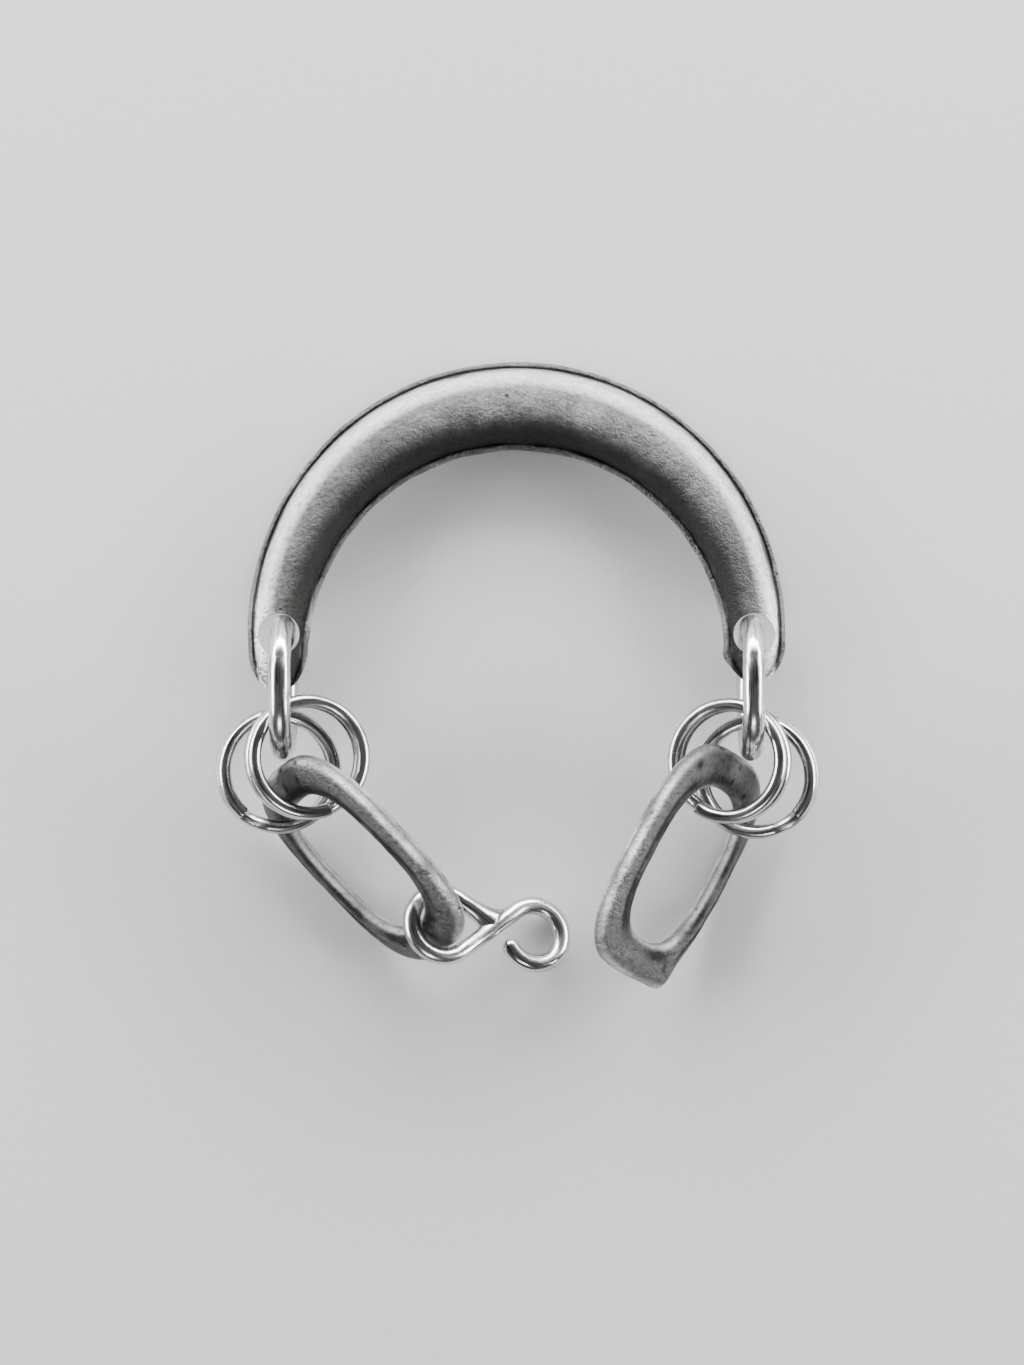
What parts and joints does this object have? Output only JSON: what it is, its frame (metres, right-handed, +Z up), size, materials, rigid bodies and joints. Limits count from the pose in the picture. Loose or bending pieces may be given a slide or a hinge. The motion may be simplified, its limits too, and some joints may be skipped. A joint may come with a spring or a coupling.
{
  "type": "link bracelet",
  "caption": "Cast silver bracelet laid flat: arched bar, oval links, double split rings, long cast links and an S-hook clasp.",
  "frame": {"origin": "centre of the arched bar's outer arc, on the plane that the bracelet rests on", "axes": "+Z up, away from the resting plane; +Y towards the crown of the arch; the cast links and the hook lie towards -Y, and the hook hangs from the cast link on the -X side"},
  "size_m": [0.0785, 0.0818, 0.0163],
  "materials": {
    "cast_silver": "satin cast silver with a fine grain, small pits and a dark patina in its recesses",
    "polished_silver": "polished silver wire with faint draw marks"
  },
  "bodies": {
    "bar": {"arch_bar": "cast_silver"},
    "oval_right": {"oval_link_right": "polished_silver"},
    "rear_ring_right": {"split_ring_rear_right": "polished_silver"},
    "front_ring_right": {"split_ring_front_right": "polished_silver"},
    "cast_right": {"cast_link_right": "cast_silver"},
    "oval_left": {"oval_link_left": "polished_silver"},
    "rear_ring_left": {"split_ring_rear_left": "polished_silver"},
    "front_ring_left": {"split_ring_front_left": "polished_silver"},
    "cast_left": {"cast_link_left": "cast_silver"},
    "hook": {"s_hook": "polished_silver"}
  },
  "joints": [
    {"name": "oval_right_swing", "type": "hinge", "parent": "bar", "child": "oval_right", "pos_m": [0.0306, -0.0005, 0], "axis": [0, 0, 1], "range_deg": [-12, 20]},
    {"name": "rings_right_swing", "type": "hinge", "parent": "oval_right", "child": "rear_ring_right", "pos_m": [0.0303, -0.0135, 0], "axis": [0, 0, 1], "range_deg": [-9, 6]},
    {"name": "front_ring_right_spin", "type": "hinge", "parent": "rear_ring_right", "child": "front_ring_right", "pos_m": [0.0276, -0.017, 0.0094], "axis": [-0.3502, 0.0556, 0.935], "continuous": true},
    {"name": "cast_right_swing", "type": "hinge", "parent": "rear_ring_right", "child": "cast_right", "pos_m": [0.0275, -0.0235, 0], "axis": [0, 0, 1], "range_deg": [-2, 6]},
    {"name": "oval_left_swing", "type": "hinge", "parent": "bar", "child": "oval_left", "pos_m": [-0.0306, -0.0005, 0], "axis": [0, 0, 1], "range_deg": [-20, 12]},
    {"name": "rings_left_swing", "type": "hinge", "parent": "oval_left", "child": "rear_ring_left", "pos_m": [-0.0303, -0.0135, 0], "axis": [0, 0, 1], "range_deg": [-6, 9]},
    {"name": "front_ring_left_spin", "type": "hinge", "parent": "rear_ring_left", "child": "front_ring_left", "pos_m": [-0.0271, -0.0165, 0.0099], "axis": [0.2723, 0.047, 0.9611], "continuous": true},
    {"name": "cast_left_swing", "type": "hinge", "parent": "rear_ring_left", "child": "cast_left", "pos_m": [-0.0275, -0.0235, 0], "axis": [0, 0, 1], "range_deg": [-9, 6]},
    {"name": "hook_swing", "type": "hinge", "parent": "cast_left", "child": "hook", "pos_m": [-0.01, -0.039, 0], "axis": [0, 0, 1], "range_deg": [-4, 14]}
  ]
}
